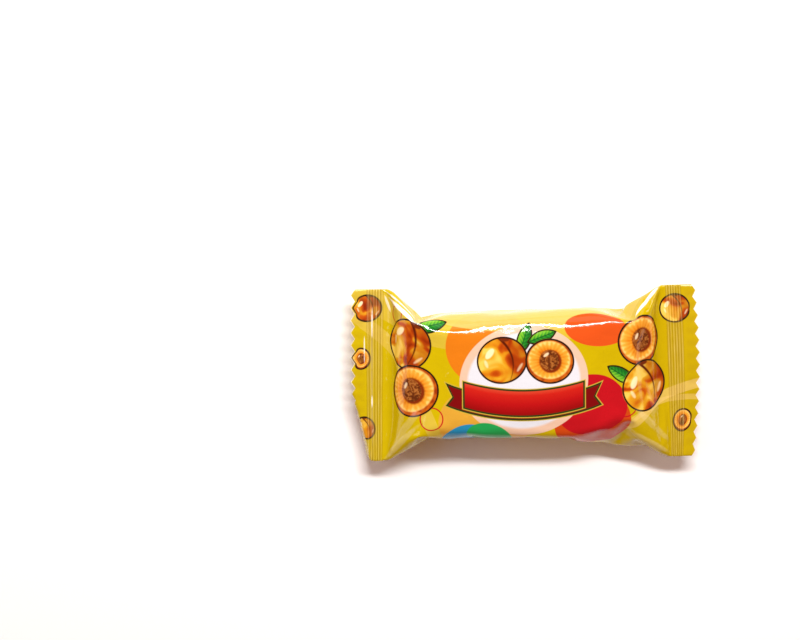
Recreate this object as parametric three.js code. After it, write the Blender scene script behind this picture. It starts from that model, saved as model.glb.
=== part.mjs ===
// A flow-wrapped sweet, shut in its film pack and lying on its back with the printed face up.
// Millimetres. +X runs along the pack, +Y across it and +Z up out of the printed face. The
// origin is under the middle of the pack, on the surface that it lies on.
//
// The pack is one tube of film: flattened and crimped at both ends, and rounded over the
// sweet between them. Every cross-section has the same length of film round it, so the pack
// grows wider as it grows thinner towards its ends. A point of the film is named by three
// numbers: its station along the pack, its place across the film, measured along the film
// from the middle line of the face or of the back, and which of those two sides it is on.
import * as THREE from "three";

// The film tube
const PACK_LENGTH = 80; // from the teeth at one end to the teeth at the other
const FILM_HALF_WIDTH = 20; // along the film, from a panel's middle line to the pack's side
const SEAL_THICKNESS = 0.5; // the pressed layers of an end seal

// The sweet inside, which shapes the middle of the pack
const SWEET_FROM_X = -22.2;
const SWEET_TO_X = 21;
const THICKNESS_LEFT = 16;
const THICKNESS_RIGHT = 14.3;
const EDGE_RADIUS = 5;
const CROWN = 0.2; // how far the printed face rises in its middle

// The end seals: crimped ridges along the cut edge, which is pinked into teeth
const SEAL_LENGTH = 7.6;
const SEAL_HEIGHT = 8.2; // height of the seals over the surface below
const LEFT_SEAL_SLANT = 0.024; // the seals' inner lines lean by these shares of Y
const RIGHT_SEAL_SLANT = 0.036;
const RIGHT_SEAL_BOW = 1.2; // the right cut edge falls back by this at its two corners
const LEFT_SEAL_BOW = 0.3;
const TEETH = 14;
const TOOTH_DEPTH = 0.9;
const TOOTH_ROOT = 0.2; // a line of the film runs this close behind the teeth
const RIDGES = 6;
const RIDGE_PITCH = 0.62;
const RIDGE_HEIGHT = 0.16;
const FIRST_RIDGE = 0.35; // from the seal's inner line
const SEAL_WAVE = 0.35; // the seals are never quite flat: their edges rise and fall by this
const WAVE_START = 0.6; // radians, where the wave stands on the pack's middle line
const SEAL_SEAM_SHARE = 0.5; // the seam strip is pressed to this share of its height there

// The back seam: a strip of film folded flat against the back, a little to one side
const SEAM_STEP = 0.4;
const SEAM_FROM_LINE = -2; // in gaps between lines from the back's middle line
const SEAM_TO_LINE = 5;
const SEAM_EDGE = 0.12; // width of the strip's steep edges

// The shoulders between the sweet and the seals
const SHOULDER_ROUND = 0.3; // share of a shoulder that bends over the end of the sweet
const SHOULDER_RADIUS = 1.2; // the ridges of the shoulders are sharper than the sweet's edges
const HOLLOW = 0.5; // how far a shoulder's face and back sink in their middle

// How far the pack's sides stand out, as X and distance from the middle line
const SIDES = {
  far: [
    ...[[-31.9, 19.9], [-27.2, 16.8], [-22.4, 13.6]], // left shoulder
    ...[[11.6, 14.8], [19.4, 15.2], [21.4, 14.5]], // sweet, and the notch at its end
    ...[[25.1, 17.5], [31.7, 19.9]], // right shoulder
  ],
  near: [
    ...[[-32.9, 19.9], [-24.6, 16], [-21.6, 14.7]], // left shoulder
    ...[[2.4, 14.7], [11.6, 16.1], [22.3, 17.3]], // sweet, with a wing of loose film at its right
    ...[[27.8, 18.2], [33.1, 19.9]], // right shoulder
  ],
};

// The left seal's near corner, bent back and down about a slanting line
const FOLD_FROM = new THREE.Vector2(-39.7, -1.5);
const FOLD_TO = new THREE.Vector2(-34.9, -20);
const FOLD_RADIUS = 0.9;
const FOLD_ANGLE = THREE.MathUtils.degToRad(75);

// How finely the film is cut into facets
const LINES = 2 * TEETH; // gaps between the lines along the film, two to a tooth
const SHOULDER_STEPS = 7;
const SWEET_STEPS = 8;
const LAST_CORNER = 19.2; // the ridge lines stop short of the seals' corners here
const SPREAD_BY = 3; // and are evenly spaced again this far into a seal
const TURN_ROUNDS = 6; // rounds of working out how far a ridge turns
const LEAST_REST = 0.02; // least film left over for a side's slanting facet

const QUARTER = Math.PI / 2;
const { clamp, lerp, mapLinear, smoothstep } = THREE.MathUtils;

// ---- places across the film ---------------------------------------------------------------

const LINE_GAP = (2 * FILM_HALF_WIDTH) / LINES;
const SEAM_FROM = SEAM_FROM_LINE * LINE_GAP;
const SEAM_TO = SEAM_TO_LINE * LINE_GAP;
const CORNER_LINE = 9 * LINE_GAP; // the line that runs down the ridges of the shoulders
const STEADY_PLACE = 5.5 * LINE_GAP; // lines nearer the middle than this run straight

/** The lines along the film, named by their places on an end seal, with a pair at each seam edge. */
function filmLines() {
  const lines = [];
  for (let i = 0; i <= LINES; i += 1) lines.push(i * LINE_GAP - FILM_HALF_WIDTH);
  lines.push(SEAM_FROM - SEAM_EDGE, SEAM_TO + SEAM_EDGE);
  return lines.sort((a, b) => a - b);
}

/** Where a line crosses a section whose corner is at the place `corner`, so that ridges are clean. */
function placeOnLine(line, corner) {
  const run = Math.abs(line);
  if (run <= STEADY_PLACE) return line;
  const [from, to, start, end] =
    run <= CORNER_LINE
      ? [STEADY_PLACE, CORNER_LINE, STEADY_PLACE, corner]
      : [CORNER_LINE, FILM_HALF_WIDTH, corner, FILM_HALF_WIDTH];
  return Math.sign(line) * mapLinear(run, from, to, start, end);
}

/** 1 on the folded seam strip of the back, 0 off it. */
function onSeam(place, side) {
  const inside = place > SEAM_FROM - SEAM_EDGE / 2 && place < SEAM_TO + SEAM_EDGE / 2;
  return side < 0 && inside ? 1 : 0;
}

// ---- cross-sections -----------------------------------------------------------------------

/** How far the film has come down from the sweet, from 0 on it to 1 at the seal. */
function descent(share) {
  const bending = share ** 2 / (2 * SHOULDER_ROUND);
  const straight = share - SHOULDER_ROUND / 2;
  return (share < SHOULDER_ROUND ? bending : straight) / (1 - SHOULDER_ROUND / 2);
}

/** How far a side stands out at an X. */
function sideTip(x, side) {
  const next = side.findIndex((point) => point[0] > x);
  if (next === 0) return side[0][1];
  if (next < 0) return side.at(-1)[1];
  return mapLinear(x, side[next - 1][0], side[next][0], side[next - 1][1], side[next][1]);
}

/**
 * Half a cross-section whose way round is the film's own: a flat, a rounded ridge and a slanting
 * facet down to the tip of the pack's side. Its corner is the place half way round the ridge.
 */
function halfSection(thickness, tip, edgeRadius) {
  const radius = Math.min(edgeRadius, thickness / 2);
  let turn = QUARTER;
  let ridge = 0;
  for (let round = 0; round < TURN_ROUNDS; round += 1) {
    const saved = radius * (2 * Math.tan(turn / 2) - turn);
    const rest = Math.max(FILM_HALF_WIDTH + saved - tip, LEAST_REST);
    ridge = FILM_HALF_WIDTH + saved - (rest ** 2 + thickness ** 2 / 4) / (2 * rest);
    turn = Math.atan2(thickness / 2, tip - ridge);
  }
  const flat = ridge - radius * Math.tan(turn / 2);
  return { thickness, tip, radius, turn, flat, corner: Math.min(flat + (radius * turn) / 2, LAST_CORNER) };
}

/** The cross-section of an end seal. */
function sealSection() {
  const radius = SEAL_THICKNESS / 2;
  return halfSection(SEAL_THICKNESS, FILM_HALF_WIDTH - (QUARTER - 1) * radius, radius);
}

/** Y of a place on a section, and Z over its middle. */
function onSection({ thickness, radius, turn, flat }, place) {
  const run = Math.abs(place);
  const angle = clamp((run - flat) / radius, 0, turn);
  const past = Math.max(0, run - flat - radius * turn);
  const y = Math.min(run, flat) + radius * Math.sin(angle) + past * Math.cos(turn);
  const z = thickness / 2 - radius * (1 - Math.cos(angle)) - past * Math.sin(turn);
  return { y: Math.sign(place) * y, z };
}

/** The film round the sweet, at a share of its length from left to right. */
function sweetPoint(share, line, side) {
  const thickness = lerp(THICKNESS_LEFT, THICKNESS_RIGHT, share);
  const x = lerp(SWEET_FROM_X, SWEET_TO_X, share);
  const section = halfSection(thickness, sideTip(x, line > 0 ? SIDES.far : SIDES.near), EDGE_RADIUS);
  const place = placeOnLine(line, section.corner);
  const { y, z } = onSection(section, place);
  const bulge = (1 - (2 * share - 1) ** 2) * (1 - (y / section.tip) ** 2);
  const rise = side > 0 ? CROWN * bulge : 0;
  const step = onSeam(place, side) * SEAM_STEP;
  return new THREE.Vector3(x, y, SEAM_STEP + thickness / 2 + side * z + rise - step);
}

/** The film of a shoulder, at a share of the way from the sweet to the seal. */
function shoulderPoint(end, share, line, side) {
  const right = end === "right";
  const down = descent(share);
  const full = right ? THICKNESS_RIGHT : THICKNESS_LEFT;
  const thickness = lerp(full, SEAL_THICKNESS, down);
  const x = lerp(right ? SWEET_TO_X : SWEET_FROM_X, sealInnerX(end, line), share);
  const radius = lerp(EDGE_RADIUS, SHOULDER_RADIUS, smoothstep(down, 0, 0.5));
  const section = halfSection(thickness, sideTip(x, line > 0 ? SIDES.far : SIDES.near), radius);
  const place = placeOnLine(line, section.corner);
  const { y, z } = onSection(section, place);
  const sunk = HOLLOW * Math.sin(Math.PI * share) ** 2 * (1 - (y / section.tip) ** 2);
  const step = onSeam(place, side) * SEAM_STEP;
  const middle = lerp(SEAM_STEP + full / 2, SEAL_HEIGHT, down);
  return new THREE.Vector3(x, y, middle + side * (z - sunk * (1 - down)) - step);
}

// ---- end seals ----------------------------------------------------------------------------

/** X of a seal's inner line. */
function sealInnerX(end, y) {
  const straight = PACK_LENGTH / 2 - SEAL_LENGTH;
  return end === "right" ? straight - RIGHT_SEAL_SLANT * y : LEFT_SEAL_SLANT * y - straight;
}

/** How far the cut edge lies from the seal's inner line. */
function sealLength(end, y) {
  const toCorner = (y / FILM_HALF_WIDTH) ** 2;
  if (end === "left") return SEAL_LENGTH + LEFT_SEAL_SLANT * y - LEFT_SEAL_BOW * toCorner;
  return SEAL_LENGTH + RIGHT_SEAL_SLANT * y - RIGHT_SEAL_BOW * toCorner;
}

/** 1 at the tip of a tooth and 0 between two teeth. */
function tooth(place) {
  const along = ((place + FILM_HALF_WIDTH) / (2 * LINE_GAP)) % 1;
  return 1 - Math.abs(2 * along - 1);
}

/** Height of the crimped ridges at a distance from the seal's inner line. */
function ridge(distance) {
  const along = (distance - FIRST_RIDGE) / RIDGE_PITCH;
  return along > 0 && along < RIDGES ? RIDGE_HEIGHT * Math.sin(Math.PI * along) ** 2 : 0;
}

/** Bends a point of the left seal about its slanting fold, `height` over the seal's own plane. */
function folded(x, y, height) {
  const along = FOLD_TO.clone().sub(FOLD_FROM).normalize();
  const outward = new THREE.Vector2(along.y, -along.x);
  const beyond = new THREE.Vector2(x, y).sub(FOLD_FROM).dot(outward);
  if (beyond <= 0) return new THREE.Vector3(x, y, SEAL_HEIGHT + height);
  const angle = Math.min(beyond / FOLD_RADIUS, FOLD_ANGLE);
  const straight = beyond - angle * FOLD_RADIUS;
  const reach = (FOLD_RADIUS + height) * Math.sin(angle) + straight * Math.cos(angle);
  const drop = FOLD_RADIUS - (FOLD_RADIUS + height) * Math.cos(angle) + straight * Math.sin(angle);
  return new THREE.Vector3(
    x + outward.x * (reach - beyond),
    y + outward.y * (reach - beyond),
    SEAL_HEIGHT - drop,
  );
}

/** The film of an end seal, at a distance from its inner line; a cut point is on the toothed edge. */
function sealPoint(end, distance, cut, line, side) {
  const corner = lerp(LAST_CORNER, CORNER_LINE, smoothstep(distance, 0, SPREAD_BY));
  const place = placeOnLine(line, corner);
  const { y, z } = onSection(sealSection(), place);
  const notch = cut ? TOOTH_DEPTH * (1 - tooth(place)) : 0;
  const out = (distance - notch) * (sealLength(end, y) / SEAL_LENGTH);
  const wave = SEAL_WAVE * Math.sin((Math.PI * y) / FILM_HALF_WIDTH + WAVE_START);
  const step = onSeam(place, side) * SEAM_STEP * SEAL_SEAM_SHARE;
  const height = side * z + ridge(distance) + wave * smoothstep(distance, 0, SEAL_LENGTH) - step;
  if (end === "left") return folded(sealInnerX(end, y) - out, y, height);
  return new THREE.Vector3(sealInnerX(end, y) + out, y, SEAL_HEIGHT + height);
}

// ---- stations along the pack --------------------------------------------------------------

/** Distances from a seal's inner line where its film is creased. */
function sealDistances() {
  const distances = [0];
  for (let i = 0; i <= 2 * RIDGES; i += 1) distances.push(FIRST_RIDGE + (i * RIDGE_PITCH) / 2);
  const behindTeeth = SEAL_LENGTH - TOOTH_DEPTH - TOOTH_ROOT;
  distances.push((distances.at(-1) + behindTeeth) / 2, behindTeeth);
  return distances;
}

/** Every station from the left cut edge to the right one, as a function of line and side. */
function stations() {
  const seal = (end) => [
    ...sealDistances().map((d) => (line, side) => sealPoint(end, d, false, line, side)),
    (line, side) => sealPoint(end, SEAL_LENGTH, true, line, side),
  ];
  const shoulder = (end) => {
    const rings = [];
    for (let i = 1; i < SHOULDER_STEPS; i += 1) {
      rings.push((line, side) => shoulderPoint(end, i / SHOULDER_STEPS, line, side));
    }
    return rings;
  };
  const sweet = [];
  for (let i = 0; i <= SWEET_STEPS; i += 1) {
    sweet.push((line, side) => sweetPoint(i / SWEET_STEPS, line, side));
  }
  const left = [...shoulder("left"), ...seal("left")].reverse();
  return [...left, ...sweet, ...shoulder("right"), ...seal("right")];
}

// ---- the closed film ----------------------------------------------------------------------

/** One closed mesh: a ring of points at each station, skinned, with a flat cap on both cut edges. */
function filmGeometry() {
  const lines = filmLines();
  const last = lines.length - 1;
  const around = 2 * last; // the face and the back share the points at the pack's sides
  const positions = [];
  const rings = stations();
  for (const point of rings) {
    for (let i = 0; i < around; i += 1) {
      const onFace = i <= last;
      positions.push(...point(lines[onFace ? i : around - i], onFace ? 1 : -1));
    }
  }

  const index = [];
  const quad = (a, b, c, d) => index.push(a, b, c, a, c, d);
  for (let r = 0; r + 1 < rings.length; r += 1) {
    for (let i = 0; i < around; i += 1) {
      const j = (i + 1) % around;
      quad(r * around + i, (r + 1) * around + i, (r + 1) * around + j, r * around + j);
    }
  }
  const cap = (start, flip) => {
    for (let i = 0; i < last; i += 1) {
      const corners = [i, i + 1, (around - i - 1) % around, (around - i) % around].map((n) => start + n);
      if (flip) corners.reverse();
      const [a, b, c, d] = corners;
      if (a !== b && b !== c) index.push(a, b, c);
      if (c !== d && d !== a) index.push(a, c, d);
    }
  };
  cap(0, false);
  cap((rings.length - 1) * around, true);

  const geometry = new THREE.BufferGeometry();
  geometry.setAttribute("position", new THREE.Float32BufferAttribute(positions, 3));
  geometry.setIndex(index);
  geometry.computeVertexNormals();
  return geometry;
}

const film = new THREE.MeshStandardMaterial({ color: 0xe6c40a, roughness: 0.25, metalness: 0 });

const pack = new THREE.Mesh(filmGeometry(), film);
pack.name = "film_pack";

const sweet = new THREE.Group();
sweet.add(pack);

export default sweet;
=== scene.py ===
"""Looks of a flow-wrapped sweet: its creased printed film, its back seam and a plain studio."""

import functools
import math

import bmesh
import bpy
import numpy as np
from mathutils import Matrix, Vector


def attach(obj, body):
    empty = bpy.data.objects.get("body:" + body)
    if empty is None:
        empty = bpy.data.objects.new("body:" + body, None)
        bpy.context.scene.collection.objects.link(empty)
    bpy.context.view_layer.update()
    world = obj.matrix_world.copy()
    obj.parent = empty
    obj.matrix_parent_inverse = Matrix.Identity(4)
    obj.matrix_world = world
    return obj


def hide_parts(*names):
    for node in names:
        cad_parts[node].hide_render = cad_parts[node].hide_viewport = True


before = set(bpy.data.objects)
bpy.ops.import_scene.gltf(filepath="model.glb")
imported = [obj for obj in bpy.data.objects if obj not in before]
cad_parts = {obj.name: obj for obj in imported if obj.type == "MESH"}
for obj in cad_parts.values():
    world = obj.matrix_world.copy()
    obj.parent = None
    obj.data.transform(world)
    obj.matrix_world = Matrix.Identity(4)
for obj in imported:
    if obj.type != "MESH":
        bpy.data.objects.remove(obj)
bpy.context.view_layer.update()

bl_info = {
    "name": "Flow-wrapped sweet",
    "version": (1, 0, 0),
    "blender": (4, 5, 0),
    "location": "View3D > Sidebar > Sweet",
    "description": "Builds a sweet in its printed film pack around the packed frame",
    "category": "Add Mesh",
}

MM = 0.001
QUARTER = math.pi / 2

# ---- the film tube and the sweet in it, in millimetres, as in the part's source -------------
HALF_ROUND = 20.0  # along the film, from a panel's middle line to the pack's side
ROUND = 4 * HALF_ROUND
PACK_LENGTH = 80.0
SWEET_FROM_X, SWEET_TO_X = -22.2, 21.0
SWEET_LENGTH = SWEET_TO_X - SWEET_FROM_X
THICK_LEFT, THICK_RIGHT = 16.0, 14.3
EDGE_RADIUS = 5.0
SWEET_HALF_WIDTH, SWEET_ASIDE = 13.5, -0.2
SHOULDER_RADIUS = 1.2  # the ridges of the shoulders are sharper
# how far the pack's far and near sides stand out along the pack
SIDE_X = {1: (-31.9, -27.2, -22.4, -12.3, -1.5, 11.6, 19.4, 21.4, 25.1, 27.8, 31.7),
          -1: (-32.9, -29.0, -24.6, -21.6, 2.4, 6.0, 11.6, 17.0, 22.3, 27.8, 33.1)}
SIDE_Y = {1: (19.9, 16.8, 13.6, 13.8, 14.2, 14.8, 15.2, 14.5, 17.5, 18.7, 19.9),
          -1: (19.9, 17.9, 16.0, 14.7, 14.7, 15.2, 16.1, 16.7, 17.3, 18.2, 19.9)}
LIFT = 0.4  # the seam strip under the pack lifts the film by this
SEAL_LENGTH = 7.6
SEAL_HEIGHT = 8.2
SEAL_LAYERS = 0.3
FIRST_RIDGE = 0.3  # from a seal's inner line to its first crimped ridge
LEFT_SLANT, RIGHT_SLANT = 0.024, 0.036  # the seals' inner lines lean by these shares of Y
RIGHT_BOW, LEFT_BOW = 1.2, 0.3
SEAL_WAVE, WAVE_START = 0.35, 0.6
TOOTHED = 2.2  # the teeth are cut into this much of a seal, from its cut edge
FOLD_FROM, FOLD_TO = np.array((-39.7, -1.5)), np.array((-34.9, -20.0))
FOLD_RADIUS, FOLD_ANGLE = 0.9, math.radians(75)
SHOULDER_LEFT, SHOULDER_RIGHT = 13.1, 13.9  # film between the sweet's ends and the seals
SEAM_FROM, SEAM_TO = -2.857, 7.143  # places of the folded seam on the back
SEAM_ROOT = 1.6  # width over which the seam comes away from its root
SEAM_GAP, SEAM_SEAL_GAP = 0.4, 0.14  # from the film to the middle of the seam, loose and in the seals
SEAM_CRIMP, SEAM_CRIMP_HEIGHT = 1.3, 0.05

# Distances along the film from the left cut edge
SEAL_END = SEAL_LENGTH
SWEET_START = SEAL_END + SHOULDER_LEFT
SWEET_END = SWEET_START + SWEET_LENGTH
SEAL_START = SWEET_END + SHOULDER_RIGHT
FILM_LENGTH = SEAL_START + SEAL_LENGTH
SHEET_MARGIN = 0.4  # room in the flat pattern for the cut edges

COLUMNS = 224  # points round the finished film, eight to a tooth
SEAL_ROWS = 64
MIDDLE_ROWS = 200
SEAM_ROWS, SEAM_COLUMNS = 280, 28


# ---- the film's shape -------------------------------------------------------------------------
def mix(start, end, share):
    return start + (end - start) * share


def smooth(value, start, end):
    share = np.clip((value - start) / (end - start), 0, 1)
    return share * share * (3 - 2 * share)


def section(thickness, tip, place, radius):
    """Y and Z of places on a cross-section: a flat, a rounded ridge and a facet to the side's tip."""
    turn = QUARTER + 0 * tip
    for _ in range(6):
        saved = radius * (2 * np.tan(turn / 2) - turn)
        rest = np.maximum(HALF_ROUND + saved - tip, 0.02)
        ridge = HALF_ROUND + saved - (rest**2 + thickness**2 / 4) / (2 * rest)
        turn = np.arctan2(thickness / 2, tip - ridge)
    run, flat = np.abs(place), ridge - radius * np.tan(turn / 2)
    angle = np.clip((run - flat) / radius, 0, turn)
    past = np.maximum(run - flat - radius * turn, 0)
    y = np.minimum(run, flat) + radius * np.sin(angle) + past * np.cos(turn)
    z = thickness / 2 - radius * (1 - np.cos(angle)) - past * np.sin(turn)
    return np.sign(place) * y, z


def place_and_side(around):
    """A point round the tube as its place across the film and 1 on the face or -1 on the back."""
    around = (around + 2 * HALF_ROUND) % ROUND - 2 * HALF_ROUND
    face = np.abs(around) <= HALF_ROUND + 1e-9
    place = np.where(face, around, np.sign(around) * (2 * HALF_ROUND - np.abs(around)))
    return place, np.where(face, 1.0, -1.0)


def seal_inner_x(end, y):
    straight = PACK_LENGTH / 2 - SEAL_LENGTH
    return straight - RIGHT_SLANT * y if end > 0 else LEFT_SLANT * y - straight


def fold_corner(points):
    """Bends the left seal's near corner back and down about a slanting line."""
    along = (FOLD_TO - FOLD_FROM) / np.linalg.norm(FOLD_TO - FOLD_FROM)
    outward = np.array((along[1], -along[0]))
    beyond = np.maximum((points[..., :2] - FOLD_FROM) @ outward, 0)
    height = points[..., 2] - SEAL_HEIGHT
    angle = np.minimum(beyond / FOLD_RADIUS, FOLD_ANGLE)
    straight = beyond - angle * FOLD_RADIUS
    reach = (FOLD_RADIUS + height) * np.sin(angle) + straight * np.cos(angle)
    drop = FOLD_RADIUS - (FOLD_RADIUS + height) * np.cos(angle) + straight * np.sin(angle)
    bent = points.copy()
    bent[..., :2] += outward * (reach - beyond)[..., None]
    bent[..., 2] = SEAL_HEIGHT - drop
    return np.where((beyond > 0)[..., None], bent, points)


def seal_points(end, distance, around, sizes=None):
    """The film of an end seal, pressed flat; crimped, toothed and waved if sizes are given."""
    place, side = place_and_side(around)
    half = SEAL_LAYERS / 2
    y, z = section(SEAL_LAYERS + 0 * place, HALF_ROUND - (QUARTER - 1) * half, place, half)
    length = SEAL_LENGTH + LEFT_SLANT * y - LEFT_BOW * (y / HALF_ROUND) ** 2
    if end > 0:
        length = SEAL_LENGTH + RIGHT_SLANT * y - RIGHT_BOW * (y / HALF_ROUND) ** 2
    height = side * z
    if sizes is not None:
        pitch = 2 * HALF_ROUND / sizes.teeth
        root = np.abs(2 * (((place + HALF_ROUND) / pitch) % 1) - 1) * sizes.tooth_depth / MM
        straight = SEAL_LENGTH - TOOTHED
        stretch = (TOOTHED - root) / TOOTHED
        distance = np.minimum(distance, straight) + np.maximum(distance - straight, 0) * stretch
        ridge = (distance - FIRST_RIDGE) / (sizes.ridge_pitch / MM)
        inside = (ridge > 0) & (ridge < sizes.ridges)
        height = height + np.where(inside, sizes.ridge_height / MM * np.sin(math.pi * ridge) ** 2, 0)
        wave = SEAL_WAVE * np.sin(math.pi * y / HALF_ROUND + WAVE_START)
        height = height + wave * smooth(distance, 0, SEAL_LENGTH)
    out = distance * length / SEAL_LENGTH
    x = seal_inner_x(end, y) + end * out
    points = np.stack((x, y, SEAL_HEIGHT + height), -1)
    return fold_corner(points) if end < 0 and sizes is not None else points


def start_shape(along, around):
    """The tube of film before it settles: rounded over the sweet, drawn in to both seals."""
    place, side = place_and_side(around)
    share = np.clip((along - SWEET_START) / SWEET_LENGTH, 0, 1)
    full = mix(THICK_LEFT, THICK_RIGHT, share)
    left = np.clip((SWEET_START - along) / SHOULDER_LEFT, 0, 1)
    right = np.clip((along - SWEET_END) / SHOULDER_RIGHT, 0, 1)
    down = np.maximum(left, right)
    bend = 0.3
    fall = np.where(down < bend, down**2 / (2 * bend), down - bend / 2) / (1 - bend / 2)
    thickness = mix(full, SEAL_LAYERS, fall)
    x = mix(SWEET_FROM_X, SWEET_TO_X, share)
    x = np.where(left > 0, mix(x, seal_inner_x(-1, place), left), x)
    x = np.where(right > 0, mix(x, seal_inner_x(1, place), right), x)
    tip = np.where(place > 0, np.interp(x, SIDE_X[1], SIDE_Y[1]), np.interp(x, SIDE_X[-1], SIDE_Y[-1]))
    radius = np.minimum(mix(EDGE_RADIUS, SHOULDER_RADIUS, smooth(down, 0, 0.5)), thickness / 2)
    y, z = section(thickness, tip, place, radius)
    points = np.stack((x, y, mix(LIFT + full / 2, SEAL_HEIGHT, fall) + side * z), -1)
    for end, past in ((-1, SEAL_END - along), (1, along - SEAL_START)):
        points = np.where((past > 0)[..., None], seal_points(end, np.maximum(past, 0), around), points)
    return points


def pull(first, second, free_first, free_second, length, stiffness):
    """Moves both ends of many threads so that each comes nearer to its length."""
    gap = second - first
    size = np.sqrt(np.einsum("ijk,ijk->ij", gap, gap))
    gap *= (stiffness * (size - length) / (size + 1e-9) / (free_first + free_second))[..., None]
    first += free_first[..., None] * gap
    second -= free_second[..., None] * gap


class SettlingFilm:
    """A grid of film points, rows along the pack and columns round it, held at the two seals."""

    rounds = 6  # times that all threads are pulled in one step
    drag = 0.9  # share of its speed that the film keeps from step to step

    def __init__(self, step, columns):
        held = 3
        rows = 4 * round((SEAL_START - SEAL_END) / step / 4)
        self.step = (SEAL_START - SEAL_END) / rows
        self.gap = ROUND / columns
        along = SEAL_END + self.step * np.arange(-held, rows + held + 1)
        around = self.gap * np.arange(columns) - 2 * HALF_ROUND
        self.along, self.around = np.meshgrid(along, around, indexing="ij")
        self.start = start_shape(self.along, self.around)
        self.points = self.start.copy()
        self.held = (self.along < SEAL_END + 1e-6) | (self.along > SEAL_START - 1e-6)
        self.free = np.where(self.held, 1e-7, 1.0)
        self.speed = np.zeros_like(self.points)
        self.face = np.flatnonzero(np.abs(around) < HALF_ROUND - 1e-6)
        opposite = 2 * HALF_ROUND - around[self.face]
        self.back = np.round((opposite + 2 * HALF_ROUND) / self.gap).astype(int) % columns
        self.layer_gap = np.minimum(0.25, 0.02 + 0.5 * (HALF_ROUND - np.abs(around[self.face])))

    def tie_rows(self, reach, stiffness, turn=0):
        """Threads from each row to the row `reach` further on, slanting by `turn` columns."""
        length = math.hypot(reach * self.step, turn * self.gap)
        for start in range(2 * reach):
            first, free = self.points[start : -reach : 2 * reach], self.free[start : -reach : 2 * reach]
            second = self.points[start + reach :: 2 * reach][: len(first)]
            other = self.free[start + reach :: 2 * reach][: len(first)]
            if turn:
                turned = np.roll(second, -turn, 1)
                pull(first, turned, free, other, length, stiffness)
                second[:] = np.roll(turned, turn, 1)
            else:
                pull(first, second, free, other, length, stiffness)

    def tie_columns(self, reach, stiffness):
        for start in range(2 * reach):
            turned = np.roll(self.points, -start, 1)
            first, second = turned[:, :: 2 * reach], turned[:, reach :: 2 * reach]
            free = self.free[:, :: 2 * reach]
            pull(first, second, free, free, reach * self.gap, stiffness)
            self.points = np.roll(turned, start, 1)

    def push_out(self, clearance=0.2, corner=4.6, end_corner=6.5):
        """Keeps the film outside the sweet, a tapered bar with rounded edges."""
        x, y, z = np.moveaxis(self.points, -1, 0)
        share = np.clip((x - SWEET_FROM_X) / SWEET_LENGTH, 0, 1)
        thick = mix(THICK_LEFT, THICK_RIGHT, share)
        middle = ((SWEET_FROM_X + SWEET_TO_X) / 2, SWEET_ASIDE, LIFT + thick / 2)
        half = (SWEET_LENGTH / 2 - clearance, SWEET_HALF_WIDTH, thick / 2 - clearance)
        scale = (corner / end_corner, 1, 1)
        rounds = (end_corner, corner, corner)
        away = np.stack([a - m for a, m in zip((x, y, z), middle)], -1)
        past = np.stack(
            [(np.abs(away[..., i]) - (half[i] - rounds[i])) * scale[i] for i in range(3)], -1
        )
        out = np.maximum(past, 0)
        size = np.linalg.norm(out, axis=-1)
        depth = corner - size - np.minimum(past.max(-1), 0)
        inner = past == past.max(-1, keepdims=True)
        way = np.where((size > 1e-9)[..., None], out, inner) * np.sign(away)
        way /= np.linalg.norm(way, axis=-1, keepdims=True) + 1e-12
        self.points += way * (np.maximum(depth, 0) * (self.free > 0.5))[..., None]

    def keep_apart(self):
        """Keeps the film off the table and its face over its back."""
        z = self.points[..., 2]
        np.maximum(z, LIFT, out=z)
        overlap = np.maximum(0, self.layer_gap - (z[:, self.face] - z[:, self.back])) / 2
        z[:, self.face] += overlap
        z[:, self.back] -= overlap

    def outward(self):
        rows = np.gradient(self.points, axis=0)
        columns = np.roll(self.points, -1, 1) - np.roll(self.points, 1, 1)
        normal = np.cross(rows, columns)
        return normal / (np.linalg.norm(normal, axis=-1, keepdims=True) + 1e-9)

    def settle(self, steps, bending, suction):
        """Steps the film on. It hardly stretches, resists bending and is drawn in over the sweet."""
        over_sweet = smooth(self.along, SWEET_START - 1, SWEET_START + 5)
        over_sweet = over_sweet * (1 - smooth(self.along, SWEET_END - 5, SWEET_END + 1))
        place, _ = place_and_side(self.around)
        flat = 1 - smooth(np.abs(place), 10, 13)  # only the face and the back cling to the sweet
        drawn = (suction * over_sweet * flat * (self.free > 0.5))[..., None]
        for _ in range(steps):
            before = self.points.copy()
            self.points += self.speed - drawn * self.outward()
            for _ in range(self.rounds):
                self.tie_rows(1, 1.0)
                self.tie_columns(1, 1.0)
                self.tie_rows(1, 0.6, 1)
                self.tie_rows(1, 0.6, -1)
                self.tie_rows(2, bending)
                self.tie_columns(2, bending)
                self.push_out()
                self.keep_apart()
                self.points[self.held] = self.start[self.held]
            self.speed = (self.points - before) * self.drag

    def calm(self, times, axes, where):
        """Smooths ripples away over the sweet, along the pack (axis 0) and round it (axis 1)."""
        weight = where * smooth(self.along, SWEET_START - 3, SWEET_START + 3)
        weight = weight * (1 - smooth(self.along, SWEET_END - 3, SWEET_END + 3))
        weight = 0.25 * weight[..., None]
        for _ in range(times):
            for axis in axes:
                both = np.roll(self.points, -1, axis) + np.roll(self.points, 1, axis)
                self.points += weight * (both - 2 * self.points)

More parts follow.
